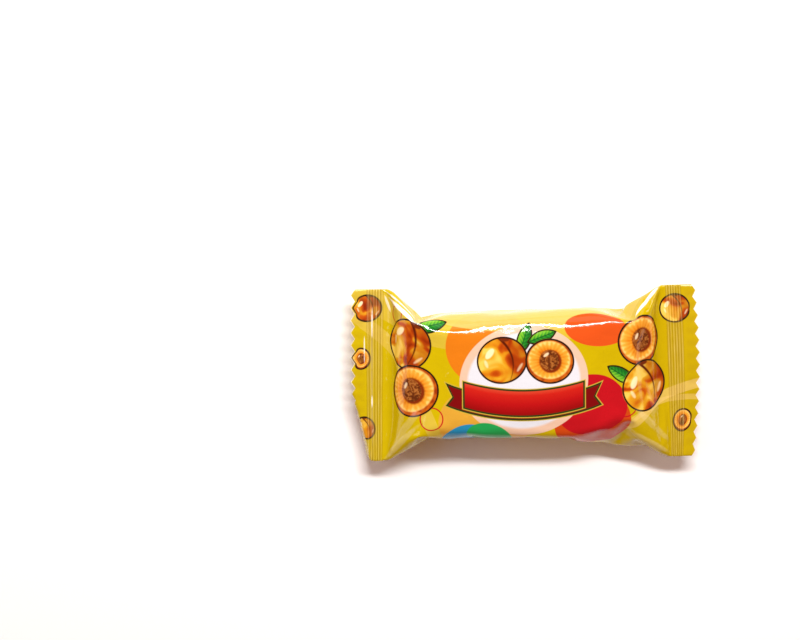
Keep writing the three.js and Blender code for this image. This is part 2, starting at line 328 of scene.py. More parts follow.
    def sample(self, along, around):
        """Points between the grid's own, on a smooth curve through them."""
        rows = (along - self.along[0, 0]) / self.step
        columns = (around + 2 * HALF_ROUND) / self.gap
        points = self.points
        for axis, at in ((0, rows), (1, columns)):
            low = np.floor(at + 1e-9).astype(int)
            part = (at - low).reshape([-1 if i == axis else 1 for i in range(3)])
            pick = [
                np.take(points, low + k, axis, mode="wrap" if axis else "clip") for k in (-1, 0, 1, 2)
            ]
            points = 0.5 * (
                2 * pick[1]
                + (pick[2] - pick[0]) * part
                + (2 * pick[0] - 5 * pick[1] + 4 * pick[2] - pick[3]) * part**2
                + (3 * pick[1] - pick[0] - 3 * pick[2] + pick[3]) * part**3
            )
        return points


COARSE, FINE = (1.0, 84), (0.5, 168)  # millimetres between rows, and columns round the film
CRUMPLE_SEED = 5
FAR_EDGE = (3, 7), (21, 25)  # where the straight far edge fades in and out, round the film


@functools.cache
def settled_film(crumple):
    """The film over the sweet after it has settled, coarse first and then fine."""
    coarse = SettlingFilm(*COARSE)
    draws = np.random.default_rng(CRUMPLE_SEED).normal(size=coarse.points.shape)
    coarse.points += draws * crumple * (coarse.free > 0.5)[..., None]
    coarse.settle(steps=80, bending=0.06, suction=0.0012)
    coarse.settle(steps=60, bending=0.04, suction=0.0008)
    fine = SettlingFilm(*FINE)
    fine.points = coarse.sample(fine.along[:, 0], fine.around[0])
    fine.points[fine.held] = fine.start[fine.held]
    fine.settle(steps=60, bending=0.04, suction=0.0004)
    fine.calm(times=5, axes=(0, 1), where=1.0)
    far_edge = smooth(fine.around, *FAR_EDGE[0]) * (1 - smooth(fine.around, *FAR_EDGE[1]))
    fine.calm(times=24, axes=(0,), where=far_edge)
    return fine


def film_grid(sizes, around, middle_rows, seal_rows):
    """Points of the finished film on lines round it, and the distance of each row along it."""
    middle = np.linspace(SEAL_END, SEAL_START, middle_rows + 1)
    past = np.linspace(0, SEAL_LENGTH, seal_rows + 1)[1:]
    points = [settled_film(sizes.crumple / MM).sample(middle, around)]
    for end in (-1, 1):
        grid = np.meshgrid(past, around, indexing="ij")
        seal = seal_points(end, *grid, sizes)
        points = [seal[::-1], *points] if end < 0 else [*points, seal]
    along = np.concatenate((SEAL_END - past[::-1], middle, SEAL_START + past))
    return np.concatenate(points), along


# Soft ridges that run from the seals' corners, as places on the flat film: both ends, the half
# width and the height
RIDGES = (
    ((-35.4, 19.2), (-23.4, 13.2), 1.1, 0.22),
    ((-35.4, -19.2), (-24.0, -12.0), 1.3, 0.24),
    ((-34.6, -17.6), (-23.5, -6.0), 1.8, 0.22),
    ((34.2, 19.4), (25.6, 14.4), 1.1, 0.22),
    ((35.4, -19.2), (22.6, -11.8), 1.2, 0.28),
    ((35.2, -16.6), (25.5, -8.6), 1.8, 0.2),
)


def normals(points):
    """Unit normals of a sheet of film."""
    normal = np.cross(np.gradient(points, axis=0), np.gradient(points, axis=1))
    return normal / (np.linalg.norm(normal, axis=-1, keepdims=True) + 1e-9)


def ridged(points, along, around):
    """Raises the soft ridges out of the film."""
    flat = np.stack(np.meshgrid(along - FILM_LENGTH / 2, around, indexing="ij"), -1)
    normal = normals(points)
    for start, end, half_width, height in RIDGES:
        line = np.subtract(end, start)
        share = np.clip((flat - start) @ line / (line @ line), 0, 1)
        away = np.linalg.norm(flat - start - share[..., None] * line, axis=-1)
        rise = height * (1 - smooth(away, 0, 2 * half_width))
        rise *= smooth(share, 0, 0.15) * (1 - smooth(share, 0.7, 1))
        points = points + normal * rise[..., None]
    return points


def seam_grid(sizes):
    """The folded seam: a crimped strip along the back, fast to the film along its root edge."""
    across = np.linspace(0, SEAM_TO - SEAM_FROM, SEAM_COLUMNS + 1)
    points, along = film_grid(sizes, 2 * HALF_ROUND - SEAM_TO + across, SEAM_ROWS, SEAL_ROWS // 2)
    in_seal = np.maximum(1 - (along - SEAL_END) / 4, 1 - (SEAL_START - along) / 4)
    loose = (1 - smooth(in_seal, 0, 1))[:, None] * smooth(across, 0, SEAM_ROOT)
    crimp = np.sin(2 * math.pi * along / SEAM_CRIMP)[:, None] * SEAM_CRIMP_HEIGHT * loose
    stand = SEAM_SEAL_GAP + (SEAM_GAP - SEAM_SEAL_GAP) * loose + crimp
    return points + normals(points) * stand[..., None]


# ---- making pieces ----------------------------------------------------------------------------
def select_none():
    bpy.ops.object.select_all(action="DESELECT")


def new_grid(name, points):
    """A sheet of film, added as a flat grid and then moved to its place."""
    rows, columns = points.shape[:2]
    select_none()
    bpy.ops.mesh.primitive_grid_add(x_subdivisions=rows - 1, y_subdivisions=columns - 1, size=1)
    piece = bpy.context.object
    piece.name = piece.data.name = name
    piece.data.vertices.foreach_set("co", (points.swapaxes(0, 1) * MM).astype(np.float32).ravel())
    piece.data.update()
    return piece


def lay_flat(piece, flat):
    """Gives a grid two UV maps of its flat pattern: one for the print and one for baking."""
    mesh = piece.data
    corners = np.empty(len(mesh.loops), np.int32)
    mesh.loops.foreach_get("vertex_index", corners)
    uv = flat.swapaxes(0, 1).reshape(-1, 2)[corners].astype(np.float32)
    while mesh.uv_layers:
        mesh.uv_layers.remove(mesh.uv_layers[0])
    for map_name in ("film", "OFBake"):
        mesh.uv_layers.new(name=map_name).uv.foreach_set("vector", uv.ravel())


def flat_places(along, around):
    """Places in the flat pattern, from 0 to 1 both ways."""
    u = (along + SHEET_MARGIN) / (FILM_LENGTH + 2 * SHEET_MARGIN)
    return np.stack(np.meshgrid(u, around / ROUND + 0.5, indexing="ij"), -1)


def close_tube(piece, rows):
    """Merges the sheet's two long edges and closes each cut edge with a strip as thick as the film."""
    mesh = piece.data
    shape = bmesh.new()
    shape.from_mesh(mesh)
    shape.verts.ensure_lookup_table()
    maps = [shape.loops.layers.uv[name] for name in ("film", "OFBake")]
    quarter = COLUMNS // 4
    for row, past in ((0, -SEAL_LAYERS), (rows - 1, FILM_LENGTH + SEAL_LAYERS)):
        edge = flat_places(np.array((past, 0 if row == 0 else FILM_LENGTH)), np.zeros(1))[:, 0, 0]
        for column in range(quarter, 3 * quarter):
            near, far = (column, column + 1), (column + 1, column)
            opposite = [(6 * quarter - c) % COLUMNS for c in far]
            ring, places = [], []
            for c, v, u in ((near[0], near[0], edge[1]), (near[1], near[1], edge[1]),
                            (opposite[0], far[0], edge[0]), (opposite[1], far[1], edge[0])):
                corner = shape.verts[c * rows + row]
                if corner not in ring:
                    ring.append(corner)
                    places.append((u, v / COLUMNS))
            if row == 0:
                ring, places = ring[::-1], places[::-1]
            face = shape.faces.new(ring)
            for loop, place in zip(face.loops, places):
                for uv_map in maps:
                    loop[uv_map].uv = place
    bmesh.ops.remove_doubles(shape, verts=shape.verts, dist=1e-7)
    shape.to_mesh(mesh)
    shape.free()


# ---- nodes --------------------------------------------------------------------------------------
SOFT = 0.14  # millimetres over which a printed edge fades


class Net:
    """Builds a node tree from expressions."""

    def __init__(self, tree):
        self.tree = tree

    def put(self, socket, value):
        if isinstance(value, bpy.types.NodeSocket):
            self.tree.links.new(value, socket)
        else:
            socket.default_value = value

    def add(self, kind, values=(), output=0, **settings):
        node = self.tree.nodes.new("ShaderNode" + kind)
        for name, value in settings.items():
            setattr(node, name, value)
        for name, value in dict(values).items():
            self.put(node.inputs[name], value)
        return node.outputs[output]

    def math(self, operation, *values, clamp=False):
        return self.add("Math", enumerate(values), operation=operation, use_clamp=clamp)

    plus = functools.partialmethod(math, "ADD")
    minus = functools.partialmethod(math, "SUBTRACT")
    times = functools.partialmethod(math, "MULTIPLY")
    scaled = functools.partialmethod(math, "MULTIPLY_ADD")  # times one value, plus another
    absolute = functools.partialmethod(math, "ABSOLUTE")

    def vector(self, operation, *values, output=0):
        return self.add("VectorMath", enumerate(values), output, operation=operation)

    def split(self, vector):
        x = self.add("SeparateXYZ", {0: vector})
        return x, x.node.outputs[1]

    def join(self, x, y, z=0.0):
        return self.add("CombineXYZ", {0: x, 1: y, 2: z})

    def blend(self, share, under, over, mode="MIX"):
        values = {0: share, 6: under, 7: over}
        return self.add("Mix", values, 2, data_type="RGBA", blend_type=mode)

    def ramp(self, share, stops):
        colour = self.add("ValToRGB", {0: share})
        points = colour.node.color_ramp.elements
        while len(points) < len(stops):
            points.new(0.5)
        for point, stop in zip(points, stops):
            point.position, point.color = stop
        return colour

    def noise(self, vector, scale, detail=2.0, roughness=0.5, distortion=0.0):
        values = {"Vector": vector, "Scale": scale, "Detail": detail}
        values |= {"Roughness": roughness, "Distortion": distortion}
        return self.add("TexNoise", values)

    def bump(self, height, strength, distance):
        return self.add("Bump", {"Strength": strength, "Distance": distance, "Height": height})

    def inked(self, distance, softness=SOFT):
        """1 inside a shape and 0 outside it, from the signed distance to its edge."""
        return self.scaled(distance, -1 / softness, 0.5, clamp=True)

    def lined(self, distance, width, softness=SOFT):
        """1 on a line of a width along a shape's edge."""
        away = self.minus(self.absolute(distance), width / 2)
        return self.inked(away, softness)

    def group(self, tree, values):
        return self.add("Group", values, node_tree=tree)


def new_material(name):
    """A material with its net and the sockets of its one shader."""
    material = bpy.data.materials.new(name)
    material.use_nodes = True
    return material, Net(material.node_tree), material.node_tree.nodes["Principled BSDF"].inputs


def new_group(name, takes, gives):
    """A shader node group with named sockets, as a net, its input sockets and its output node."""
    tree = bpy.data.node_groups.new(name, "ShaderNodeTree")
    for label, kind, default in takes:
        socket = tree.interface.new_socket(label, in_out="INPUT", socket_type="NodeSocket" + kind)
        if default is not None:
            socket.default_value = default
    for label, kind in gives:
        tree.interface.new_socket(label, in_out="OUTPUT", socket_type="NodeSocket" + kind)
    source = tree.nodes.new("NodeGroupInput")
    return Net(tree), source.outputs, tree.nodes.new("NodeGroupOutput").inputs


def rgb(red, green, blue):
    """A display colour from 0 to 255 as the linear colour that nodes and properties take."""
    linear = [c / 3294.6 if c <= 10.3 else ((c / 255 + 0.055) / 1.055) ** 2.4 for c in (red, green, blue)]
    return (*linear, 1.0)


# ---- the print ----------------------------------------------------------------------------------
OUTLINE = rgb(38, 22, 10)
SHAPE = (("Place", "Vector", None), ("Centre", "Vector", None), ("Half", "Vector", (1, 1, 1)),
         ("Turn", "Float", 0.0))


def turned(net, given):
    """The place as seen from the centre, in the shape's own turned axes."""
    moved = net.vector("SUBTRACT", given["Place"], given["Centre"])
    back = net.times(given["Turn"], -1.0)
    return net.add("VectorRotate", {"Vector": moved, "Angle": back}, rotation_type="Z_AXIS")


def oval_group():
    """Signed distance to a turned oval's edge, and places in it from -1 to 1."""
    net, given, out = new_group("oval", SHAPE, (("Distance", "Float"), ("Inner", "Vector")))
    inner = net.vector("DIVIDE", turned(net, given), given["Half"])
    size = net.vector("LENGTH", inner, output=1)
    slope = net.vector("LENGTH", net.vector("DIVIDE", inner, given["Half"]), output=1)
    distance = net.times(size, net.minus(size, 1.0))
    net.put(out["Distance"], net.math("DIVIDE", distance, net.math("MAXIMUM", slope, 1e-4)))
    net.put(out["Inner"], inner)
    return net.tree


def ovals(net, oval, place, centre, half, turn=0.0):
    """One oval: its distance and its inner places."""
    values = {"Place": place, "Centre": (*centre, 0) if isinstance(centre, tuple) else centre}
    values |= {"Half": (*half, 1) if isinstance(half, tuple) else half, "Turn": turn}
    distance = net.group(oval, values)
    return distance, distance.node.outputs[1]


def spot(net, oval, place, colour, shape, ink, softness=SOFT, share=1.0):
    """Lays an oval of an ink over a colour. Its shape is its centre, half sizes and turn."""
    distance, _ = ovals(net, oval, place, *shape)
    return net.blend(net.times(net.inked(distance, softness), share), colour, ink)


def new_motif(name):
    """A group that is to lay one fruit or leaf over the colour under it."""
    return new_group(name, (("Under", "Color", None), *SHAPE), (("Colour", "Color"),))


def end_motif(net, given, out, distance, colour, line, reach):
    """Draws a motif's dark outline, and lays the motif over the colour under it."""
    colour = net.blend(net.lined(distance, line), colour, OUTLINE)
    net.put(out[0], net.blend(net.inked(net.minus(distance, reach)), given["Under"], colour))
    return net.tree


def apricot_group(oval):
    """A whole apricot in flat printed colours, with its crease, blush, shine and outline."""
    net, given, out = new_motif("print apricot")
    place = given["Place"]
    distance, inner = ovals(net, oval, place, given["Centre"], given["Half"], given["Turn"])
    x, y = net.split(inner)
    patches = net.noise(place, 0.2, 1.0, 0.45, 1.2)
    lit = net.scaled(x, -0.22, 0.54)
    lit = net.scaled(y, 0.16, lit)
    lit = net.plus(lit, net.scaled(patches, 2.2, -1.1))
    body = net.ramp(lit, ((0.05, rgb(136, 36, 0)), (0.3, rgb(178, 68, 4)), (0.45, rgb(194, 92, 8)),
                          (0.56, rgb(208, 130, 18)), (0.75, rgb(218, 158, 30)), (0.95, rgb(238, 200, 84))))
    bow = net.scaled(net.times(y, y), -0.34, 0.42)
    aside = net.minus(x, bow)
    shade = net.times(net.inked(net.times(aside, -1.0), 0.5), 0.45)
    colour = net.blend(shade, body, rgb(140, 44, 4))
    crease = net.minus(net.absolute(aside), net.scaled(y, 0.03, 0.035))
    colour = net.blend(net.inked(crease, 0.05), colour, rgb(84, 22, 2))
    for share, *shine in ((0.85, (-0.42, 0.42), (0.25, 0.13), 0.75),
                          (0.6, (-0.66, 0.02), (0.06, 0.17), 0.1),
                          (0.45, (0.62, -0.5), (0.2, 0.05), 0.8)):
        colour = spot(net, oval, inner, colour, shine, rgb(255, 240, 190), 0.06, share)
    dip = (0.3, 0.86), (0.2, 0.09), -0.35
    colour = spot(net, oval, inner, colour, dip, rgb(110, 40, 8), 0.05)
    return end_motif(net, given, out, distance, colour, 0.42, 0.2)


def half_group(oval):
    """A halved apricot: skin, pale flesh with strands, and its stone."""
    net, given, out = new_motif("print half apricot")
    place = given["Place"]
    distance, inner = ovals(net, oval, place, given["Centre"], given["Half"], given["Turn"])
    patches = net.noise(place, 0.6, 1.0, 0.4, 0.6)
    colour = net.ramp(patches, ((0.35, rgb(150, 52, 4)), (0.65, rgb(196, 96, 14))))
    face, cut = ovals(net, oval, inner, (-0.03, 0.05), (0.88, 0.86))
    round_way = net.math("ARCTAN2", *net.split(cut)[::-1])
    strands = net.math("SINE", net.times(round_way, 26.0))
    depth = net.vector("LENGTH", cut, output=1)
    flesh = net.plus(depth, net.scaled(patches, 0.5, -0.25))
    flesh = net.scaled(strands, 0.06, flesh)
    flesh = net.ramp(flesh, ((0.3, rgb(190, 84, 8)), (0.55, rgb(218, 128, 22)), (0.85, rgb(236, 166, 54)),
                             (1.0, rgb(246, 204, 110))))
    colour = net.blend(net.inked(face, 0.07), colour, flesh)
    hollow = (0.03, 0.0), (0.47, 0.53), 0.2
    colour = spot(net, oval, inner, colour, hollow, rgb(124, 42, 6), 0.08)
    stone, kernel = ovals(net, oval, inner, (-0.02, 0.04), (0.4, 0.46), 0.2)
    grooves = net.noise(place, 0.8, 2.0, 0.5, 1.6)
    bark = net.ramp(grooves, ((0.4, rgb(92, 40, 10)), (0.5, rgb(134, 70, 22)), (0.62, rgb(168, 102, 44))))
    edge = net.lined(net.split(kernel)[0], 0.08, 0.1)
    bark = net.blend(edge, bark, rgb(96, 42, 12))
    colour = net.blend(net.inked(stone, 0.05), colour, bark)
    shine = (-0.2, 0.26), (0.13, 0.06), 0.9
    colour = spot(net, oval, inner, colour, shine, rgb(250, 224, 180), 0.05, 0.8)
    return end_motif(net, given, out, distance, colour, 0.42, 0.2)


def leaf_group():
    """A pointed leaf with a midrib and side veins. Half holds its half length and half width."""
    net, given, out = new_motif("print leaf")
    x, y = net.split(turned(net, given))
    length, width = net.split(given["Half"])
    squares = net.scaled(length, length, net.times(width, width))
    radius = net.math("DIVIDE", squares, net.times(width, 2.0))
    above = net.absolute(y)
    away = net.plus(above, net.minus(radius, width))
    distance = net.minus(net.vector("LENGTH", net.join(x, away), output=1), radius)
    veins = net.math("SINE", net.times(net.minus(x, net.times(above, 0.9)), 7.0))
    lit = net.scaled(veins, 0.1, net.scaled(y, 0.3, 0.5))
    colour = net.ramp(lit, ((0.2, rgb(14, 96, 30)), (0.5, rgb(36, 140, 36)), (0.8, rgb(120, 186, 44))))
    colour = net.blend(net.lined(above, 0.2), colour, rgb(10, 74, 26))
    return end_motif(net, given, out, distance, colour, 0.36, 0.18)


def film_place(net):
    """Places on the flat film in millimetres, from the middle of the printed face."""
    flat = net.add("UVMap", uv_map="film")
    size = (FILM_LENGTH + 2 * SHEET_MARGIN, ROUND, 0)
    return net.vector("MULTIPLY_ADD", flat, size, (-size[0] / 2, -size[1] / 2, 0))


# Rings of one ink: how much it covers, the ring's middle, radius and width. The swooshes are rings
# so broad that only a stretch of each shows.
SWOOSHES = (
    ("cream", 0.16, (-8, 66), 57, 5.5),
    ("cream", 0.4, (52, -46.8), 45, 2.2),
    ("cream", 0.3, (40.5, -41), 35, 1.3),
    ("cream", 0.2, (-70, -30), 52, 3.0),
)
RINGS = (
    ("red", 1.0, (-21.6, -9.0), 2.6, 0.3),
    ("red", 1.0, (22.6, -6.2), 2.9, 0.3),
    ("red", 1.0, (-31, 14.5), 1.9, 0.26),
)
# Ovals of one ink: how much it covers, the oval's middle, half sizes and turn
FIELDS = (
    ("peach", 0.85, (-9.5, -10), (10.5, 9), 0.0),
    ("orange", 1.0, (-8.5, 7.5), (9.7, 9), 0.0),
    ("far_side", 0.9, (-1, 18.8), (25, 8), 0.0),
    ("orange_red", 1.0, (16, 11.2), (7.2, 4.0), -0.1),
    ("red_shade", 1.0, (15.2, -10.4), (8.8, 8.2), 0.2),
    ("red", 1.0, (14.8, -6.4), (8.3, 7.2), 0.1),
)
NEAR_DISCS = (
    ("blue", 1.0, (-12.9, -17.0), (6.8, 6.8), 0.0),
    ("green", 1.0, (-8.4, -13.8), (5.4, 3.6), -0.35),
)
# Fruit and leaves: which kind, its middle, half sizes and turn
MOTIFS = (
    ("leaf", (-0.4, 9.2), (3.8, 1.5), 1.25),
    ("leaf", (3.6, 9.6), (3.4, 1.4), 0.35),
    ("whole", (-5.4, 4.4), (5.6, 5.2), 0.25),
    ("halved", (5.4, 4.0), (5.4, 5.0), -0.2),
    ("leaf", (-21.6, 12.6), (3.8, 1.6), 0.3),
    ("whole", (-27.6, 8.0), (6.0, 5.7), -0.2),
    ("halved", (-26.2, -2.6), (6.2, 5.8), 0.25),
    ("leaf", (21.8, 0.6), (3.6, 1.5), 2.6),
    ("halved", (27.0, 8.2), (5.9, 5.6), 0.3),
    ("whole", (28.2, -2.4), (6.2, 5.7), 0.45),
    ("whole", (-39.6, -12.2), (2.3, 2.6), 0.4),
    ("halved", (-40.4, 4.0), (2.1, 2.4), 0.0),
    ("whole", (-39.0, 15.6), (3.2, 3.0), 0.2),
    ("halved", (38.6, -11.4), (2.3, 2.6), -0.4),
    ("whole", (37.4, 14.6), (3.5, 3.2), 0.3),
)
RIBBON_ASIDE, RIBBON_Y, RIBBON_SAG = 0.5, -5.6, 0.011
BAND_HALF, TAIL_HALF, TAIL_DROP = (13.6, 2.9), (17.2, 2.4), 1.3
NOTCH_DEPTH, NOTCH_SLOPE = 1.2, 0.6


def ribbon(net, x, y, colour):
    """A bare ribbon that sags in the middle, over its own notched tails."""
    above = net.minus(y, net.scaled(net.times(x, x), RIBBON_SAG, RIBBON_Y))
    aside = net.absolute(net.plus(x, RIBBON_ASIDE))
    band_height = net.minus(net.absolute(above), BAND_HALF[1])
    band = net.math("MAXIMUM", band_height, net.minus(aside, BAND_HALF[0]))
    tail_above = net.absolute(net.plus(above, TAIL_DROP))
    notch = net.plus(net.minus(aside, TAIL_HALF[0]), net.scaled(tail_above, -NOTCH_SLOPE, NOTCH_DEPTH))
    tail = net.math("MAXIMUM", net.minus(tail_above, TAIL_HALF[1]), notch)
    shaded = net.ramp(net.scaled(above, 0.17, 0.5),
                      ((0.0, rgb(134, 2, 6)), (0.45, rgb(176, 12, 16)), (0.8, rgb(194, 30, 20)),
                       (1.0, rgb(206, 70, 44))))
    for shape, inside in ((tail, rgb(118, 4, 8)), (band, shaded)):
        colour = net.blend(net.inked(net.minus(shape, 0.45)), colour, rgb(196, 172, 60))
        colour = net.blend(net.inked(net.minus(shape, 0.25)), colour, rgb(34, 52, 16))
        colour = net.blend(net.inked(net.plus(shape, 0.15)), colour, inside)
    return colour


BACK_BAND_Y, BACK_BAND_HALF = -30.2, 2.2
PANEL_Y, PANEL_HALF, PANEL_CORNER = 31.0, (17.0, 3.0, 0.0), 1.5


def back_print(net, place, y, colour, red):
    """The back: a red band along its near edge and a bare pale panel."""
    band = net.minus(net.absolute(net.minus(y, BACK_BAND_Y)), BACK_BAND_HALF)
    colour = net.blend(net.inked(band), colour, red)
    panel = net.vector("ABSOLUTE", net.vector("SUBTRACT", place, (0, PANEL_Y, 0)))
    past = net.split(net.vector("MAXIMUM", net.vector("SUBTRACT", panel, PANEL_HALF), (0, 0, 0)))
    corner = net.minus(net.vector("LENGTH", net.join(*past), output=1), PANEL_CORNER)
    return net.blend(net.inked(corner), colour, rgb(250, 240, 205))


def printed_colour(net, place, inks, oval):
    """The whole print, layer on layer, as one colour."""
    motifs = {"whole": apricot_group(oval), "halved": half_group(oval), "leaf": leaf_group()}
    x, y = net.split(place)

    def fields(colour, rows):
        for ink, share, *shape in rows:
            colour = spot(net, oval, place, colour, shape, getattr(inks, ink), share=share)
        return colour

    def rings(colour, rows):
        for ink, share, centre, radius, width in rows:
            distance, _ = ovals(net, oval, place, centre, (radius, radius))
            colour = net.blend(net.times(net.lined(distance, width), share), colour, getattr(inks, ink))
        return colour

    # the ground has a mustard cast to the right
    colour = net.ramp(net.scaled(x, 0.012, 0.5),
                      ((0.0, inks.yellow), (0.55, inks.yellow), (1.0, inks.mustard)))
    colour = fields(rings(colour, SWOOSHES), FIELDS)
    # the pale middle with its rosy rim
    middle, _ = ovals(net, oval, place, (-0.5, -0.4), (14.6, 12.8), 0.08)
    rim = net.ramp(net.scaled(middle, 0.16, 1.0),
                   ((0.0, inks.pale), (0.66, inks.pale), (0.76, inks.rosy), (1.0, inks.rosy)))
    colour = net.blend(net.inked(middle), colour, rim)
    colour = ribbon(net, x, y, rings(fields(colour, NEAR_DISCS), RINGS))
    for kind, centre, half, turn in MOTIFS:
        values = {"Under": colour, "Place": place, "Centre": (*centre, 0), "Half": (*half, 1)}
        colour = net.group(motifs[kind], values | {"Turn": turn})
    return back_print(net, place, y, colour, inks.red)


# Sharp creases at the shoulders and lines across the left seal, each bumped into the film with a painted
# highlight along it:
# the middle of each on the flat film, its half sizes, how far it is turned and how strong its painted
# highlight is
CREASES = (
    ((-29.4, 16.7), (6.9, 0.22), -0.455, 0.8),
    ((-28.6, 15.2), (6.4, 0.5), -0.48, 1.0),
    ((-34.4, 16.6), (2.2, 0.35), -1.2, 0.5),
    ((29.9, 17.2), (5.4, 0.46), 0.55, 1.0),
    ((-37.9, 12.2), (0.17, 3.8), 0.0, 0.8),
    ((-37.9, -6.0), (0.17, 1.7), 0.0, 0.9),
    ((-39.6, 6.0), (0.17, 3.4), 0.0, 0.7),
    ((-37.9, 0.0), (0.15, 19.6), 0.0, 0.12),
    ((-29.6, -14.9), (7.6, 0.8), 0.72, 0.12),
    ((-27.6, -10.9), (7.0, 1.0), 0.88, 0.08),
    ((28.6, -15.4), (7.4, 0.8), -0.5, 0.12),
    ((29.8, -11.6), (7.0, 1.0), -0.72, 0.08),
)


def painted_seal_shade_and_highlights(net, x, y, colour, sizes):
    """Paints shade into the grooves of the crimped ridges, paints highlights on their tops, and paints
    shaded bands towards the teeth.
    """
    past = net.minus(net.absolute(x), FILM_LENGTH / 2 - SEAL_LENGTH + FIRST_RIDGE)
    ridge = net.math("DIVIDE", past, sizes.ridge_pitch / MM)
    outside = net.minus(net.absolute(net.minus(ridge, sizes.ridges / 2)), sizes.ridges / 2)
    groove_shade_mask = net.scaled(net.math("COSINE", net.times(ridge, 2 * math.pi)), 0.5, 0.5)
    uneven = net.noise(net.join(net.times(x, 1.6), net.times(y, 0.12)), 1.0)
    pressed = net.times(net.inked(outside, 0.5), uneven)
    # painted shade in the grooves of the crimped ridges
    share = net.times(net.times(groove_shade_mask, pressed), 0.7)
    colour = net.blend(share, colour, rgb(128, 88, 4))
    # painted highlights on the ridge tops
    share = net.times(net.minus(1.0, groove_shade_mask), net.times(pressed, pressed))
    colour = net.blend(net.times(share, 0.6), colour, rgb(255, 236, 150))
    # painted shade in faint bands across the outer seal, one to a tooth
    band = net.math("SINE", net.times(y, math.pi * sizes.teeth / HALF_ROUND))
    beyond = net.times(net.minus(ridge, sizes.ridges + 0.6), 0.8, clamp=True)
    share = net.times(net.scaled(band, 0.08, 0.08), beyond)
    return net.blend(share, colour, rgb(150, 112, 20))


def film_material(inks, sizes):
    """Glossy printed film: the print, painted shade and highlights on the crimped seals, its sharp creases
    with painted highlights along them, fine wrinkles and pale cut edges.
    """
    material, net, shader = new_material("printed film")
    place = film_place(net)
    x, y = net.split(place)
    oval = oval_group()
    colour = painted_seal_shade_and_highlights(net, x, y, printed_colour(net, place, inks, oval), sizes)
    height = net.noise(place, 0.35, 3.0, 0.55, 0.4)
    patchy = net.scaled(net.noise(place, 0.5, 2.0), 14.0, -3.8)  # the painted highlights along the creases break up unevenly
    # each crease is bumped into the film and gets a painted highlight along it
    for centre, half, turn, glint_share in CREASES:
        _, inner = ovals(net, oval, place, centre, half, turn)
        near = net.minus(1.0, net.vector("LENGTH", inner, output=1), clamp=True)
        crease_glint = net.times(net.times(near, patchy, clamp=True), glint_share)
        colour = net.blend(crease_glint, colour, rgb(255, 250, 236))
        height = net.scaled(near, 0.8, height)
    cut = net.inked(net.minus(FILM_LENGTH / 2 - 0.12, net.absolute(x)), 0.12)
    colour = net.blend(net.times(cut, 0.75), colour, rgb(250, 246, 226))
    net.put(shader["Base Color"], colour)
    smudge = net.noise(place, 0.12, 3.0, 0.6)
    pressed = net.inked(net.minus(FILM_LENGTH / 2 - SEAL_LENGTH, net.absolute(x)), 1.0)
    gloss = net.scaled(smudge, 0.1, 0.03)
    net.put(shader["Roughness"], net.scaled(pressed, 0.14, gloss))
    shader["Specular IOR Level"].default_value = 0.42
    net.put(shader["Normal"], net.bump(height, 0.35, 0.0003))
    return material


def seam_material(inks):
    """The same film without a print, a little duller where it was crimped."""
    material, net, shader = new_material("plain film")
    place = net.add("TexCoord", output=3)
    cloud = net.noise(place, 160.0, 3.0, 0.6)
    colour = net.ramp(cloud, ((0.3, inks.mustard), (0.7, inks.yellow)))
    net.put(shader["Base Color"], colour)
    net.put(shader["Roughness"], net.scaled(cloud, 0.16, 0.16))
    ripples = net.noise(net.vector("MULTIPLY", place, (1.0, 0.15, 0.15)), 2600.0, 1.0)
    net.put(shader["Normal"], net.bump(ripples, 0.25, 0.0001))
    return material


# ---- settings -------------------------------------------------------------------------------------
def number_property(name, description, default, least=0.0, **settings):
    return bpy.props.FloatProperty(name=name, description=description, default=default, min=least,
                                   **settings)


def count_property(name, description, default, least):
    return bpy.props.IntProperty(name=name, description=description, default=default, min=least)


def length_property(name, description, default):
    return number_property(name, description, default, precision=5, subtype="DISTANCE", unit="LENGTH")


def colour_property(name, description, default):
    return bpy.props.FloatVectorProperty(name=name, description=description, default=default, size=4,
                                         subtype="COLOR", min=0.0, max=1.0)


class SweetSizes(bpy.types.PropertyGroup):
    """Sizes of the film's seals and creases."""

    teeth: count_property("Teeth", "Teeth of each cut edge", 14, 4)
    tooth_depth: length_property("Tooth depth", "From the tips of the teeth to their roots", 0.0009)
    ridges: count_property("Ridges", "Crimped ridges of each seal", 6, 0)
    ridge_pitch: length_property("Ridge pitch", "From one crimped ridge to the next", 0.00062)
    ridge_height: length_property("Ridge height", "Height of a crimped ridge", 0.00022)
    crumple: length_property("Crumple", "How far the film starts out of place before it settles", 0.00012)
    seam_layers: length_property("Seam thickness", "Thickness of the folded back seam", 0.0002)


class SweetInks(bpy.types.PropertyGroup):
    """Colours of the print."""

    yellow: colour_property("Yellow", "Ground of the print", rgb(195, 171, 0))
    mustard: colour_property("Mustard", "Ground towards the right end", rgb(188, 160, 0))
    cream: colour_property("Cream", "Swooshes and the far side", rgb(240, 205, 128))
    far_side: colour_property("Far side", "Field along the far side", rgb(226, 182, 92))
    pale: colour_property("Pale middle", "Middle of the printed face", rgb(218, 220, 226))
    rosy: colour_property("Rosy rim", "Rim of the pale middle", rgb(224, 188, 160))
    peach: colour_property("Peach", "Field under the orange one", rgb(214, 156, 56))
    orange: colour_property("Orange", "Field beside the pale middle", rgb(214, 118, 18))
    orange_red: colour_property("Orange red", "Oval near the far edge", rgb(212, 80, 24))
    red: colour_property("Red", "Ribbon, rings and the red field", rgb(182, 14, 26))
    red_shade: colour_property("Red shade", "Field under the red one", rgb(194, 68, 14))
    blue: colour_property("Blue", "Disc on the near side", rgb(30, 136, 180))
    green: colour_property("Green", "Lobe over the blue disc", rgb(28, 160, 78))


